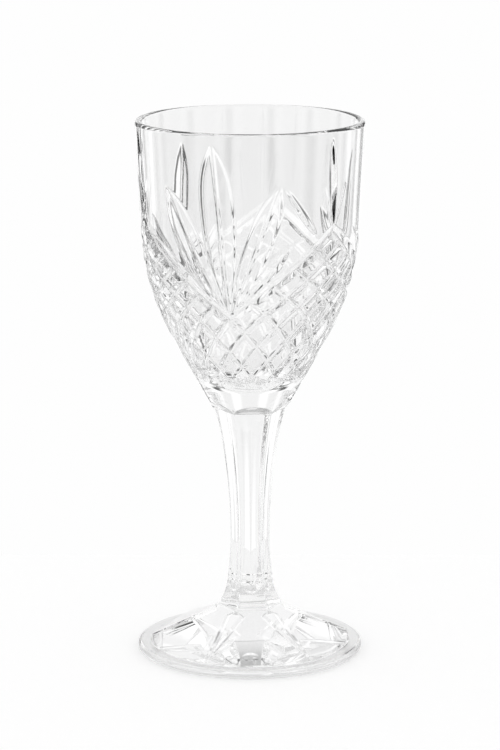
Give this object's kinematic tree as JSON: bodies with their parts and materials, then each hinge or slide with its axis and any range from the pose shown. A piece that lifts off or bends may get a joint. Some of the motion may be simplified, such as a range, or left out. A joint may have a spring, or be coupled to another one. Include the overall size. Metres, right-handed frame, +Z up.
{
  "type": "wine glass",
  "caption": "Clear stemmed goblet: tapered bowl cut with leaf fans over a diamond lattice, faceted waisted stem, flared collar and round petalled foot.",
  "frame": {"origin": "centre of the flat ring under the foot, on the glass's axis, at the height of the table", "axes": "+Z up along the axis of the glass; a flat side of the stem and the middle of one leaf fan face -Y"},
  "size_m": [0.08, 0.08, 0.1905],
  "materials": {
    "clear_crystal": "fire-polished clear pressed crystal, colourless"
  },
  "bodies": {
    "root": {"bowl": "clear_crystal", "stem": "clear_crystal", "stem_collar": "clear_crystal", "foot": "clear_crystal"}
  },
  "joints": []
}
